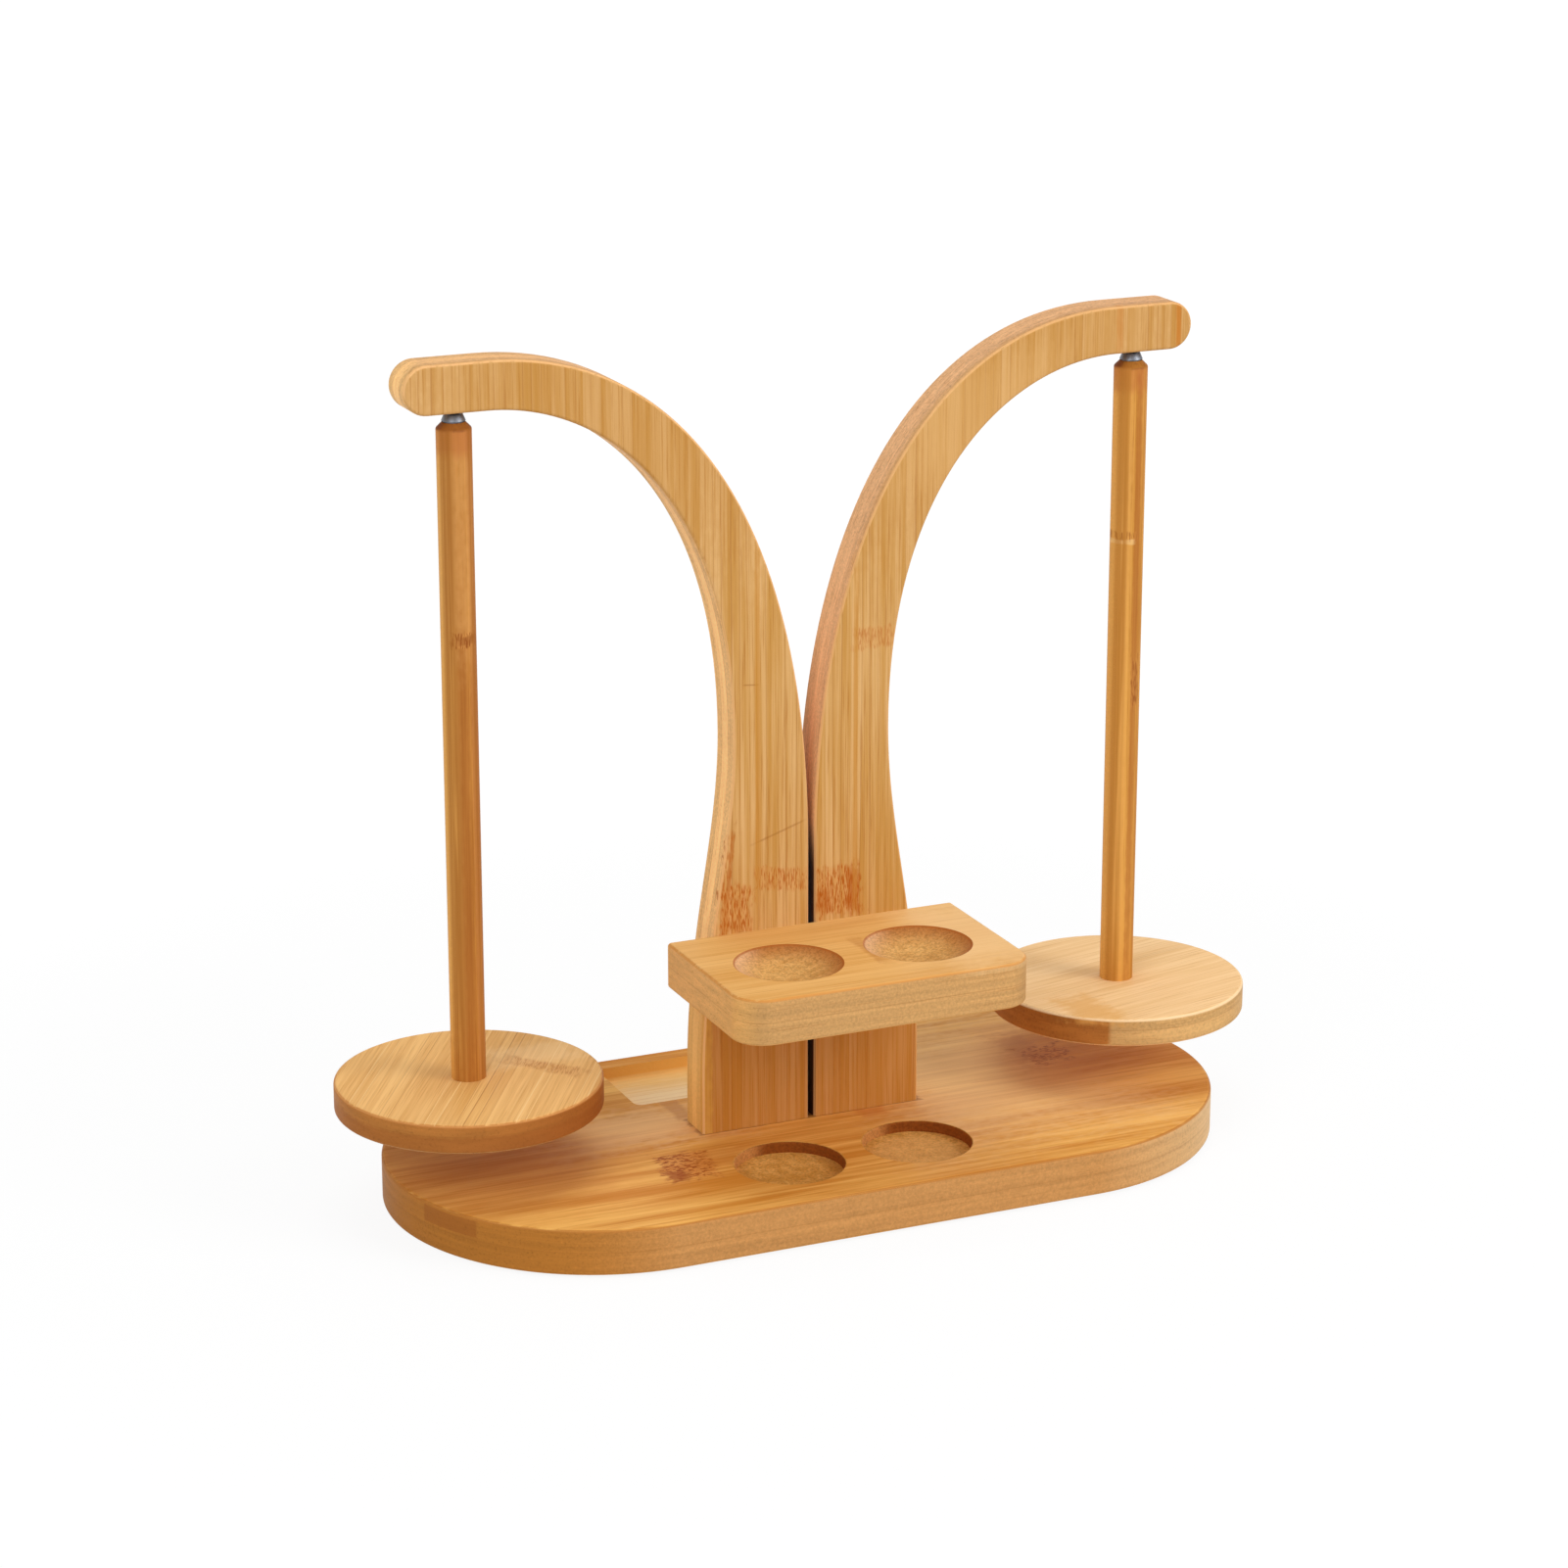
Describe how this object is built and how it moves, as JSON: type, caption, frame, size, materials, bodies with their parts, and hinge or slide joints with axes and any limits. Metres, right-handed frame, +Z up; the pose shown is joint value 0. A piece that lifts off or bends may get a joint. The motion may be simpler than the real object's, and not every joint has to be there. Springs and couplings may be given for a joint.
{
  "type": "yarn ball holder",
  "caption": "Bamboo stand whose curved arms each hang a turning spindle with a round plate for a ball of yarn, with a notions shelf, cups and a tray.",
  "frame": {"origin": "on the table, under the middle of the base board", "axes": "+X to the right along the base board, +Y to the back, +Z up"},
  "size_m": [0.334, 0.148, 0.2913],
  "materials": {
    "bamboo_board": "clear lacquered laminated bamboo, satin",
    "bamboo_shelf": "clear lacquered laminated bamboo with pale edges, satin",
    "bamboo_rod": "clear lacquered bamboo dowel, darker, satin",
    "dowel_beech": "plain turned beech",
    "polished_steel": "polished",
    "zinc_steel": "zinc plated",
    "magnet_nickel": "nickel plated",
    "pad_rubber": "matt"
  },
  "bodies": {
    "stand": {"base_board": "bamboo_board", "left_arm": "bamboo_board", "right_arm": "bamboo_board", "notions_shelf": "bamboo_shelf", "left_magnet": "magnet_nickel", "right_magnet": "magnet_nickel", "left_inner_foot_screw": "zinc_steel", "left_outer_foot_screw": "zinc_steel", "right_inner_foot_screw": "zinc_steel", "right_outer_foot_screw": "zinc_steel", "left_shelf_screw": "zinc_steel", "right_shelf_screw": "zinc_steel", "left_shelf_dowel": "dowel_beech", "right_shelf_dowel": "dowel_beech", "left_front_pad": "pad_rubber", "left_rear_pad": "pad_rubber", "right_front_pad": "pad_rubber", "right_rear_pad": "pad_rubber"},
    "left_pivot": {"left_bearing_ball": "polished_steel"},
    "left_tip": {"left_steel_tip": "polished_steel"},
    "left_spindle": {"left_rod": "bamboo_rod", "left_yarn_plate": "bamboo_board", "left_plate_screw": "zinc_steel"},
    "right_pivot": {"right_bearing_ball": "polished_steel"},
    "right_tip": {"right_steel_tip": "polished_steel"},
    "right_spindle": {"right_rod": "bamboo_rod", "right_yarn_plate": "bamboo_board", "right_plate_screw": "zinc_steel"}
  },
  "joints": [
    {"name": "left_pull_off", "type": "slide", "parent": "stand", "child": "left_pivot", "axis": [-1, 0, 0], "range_m": [0, 0.12]},
    {"name": "left_swing", "type": "hinge", "parent": "left_pivot", "child": "left_tip", "pos_m": [-0.122, 0.0015, 0.2722], "axis": [0, 1, 0], "range_deg": [-8, 24]},
    {"name": "left_spin", "type": "hinge", "parent": "left_tip", "child": "left_spindle", "pos_m": [-0.122, 0.0015, 0.2722], "axis": [0, 0, 1], "continuous": true},
    {"name": "right_pull_off", "type": "slide", "parent": "stand", "child": "right_pivot", "axis": [1, 0, 0], "range_m": [0, 0.12]},
    {"name": "right_swing", "type": "hinge", "parent": "right_pivot", "child": "right_tip", "pos_m": [0.122, 0.0015, 0.2722], "axis": [0, -1, 0], "range_deg": [-8, 24]},
    {"name": "right_spin", "type": "hinge", "parent": "right_tip", "child": "right_spindle", "pos_m": [0.122, 0.0015, 0.2722], "axis": [0, 0, 1], "continuous": true}
  ]
}
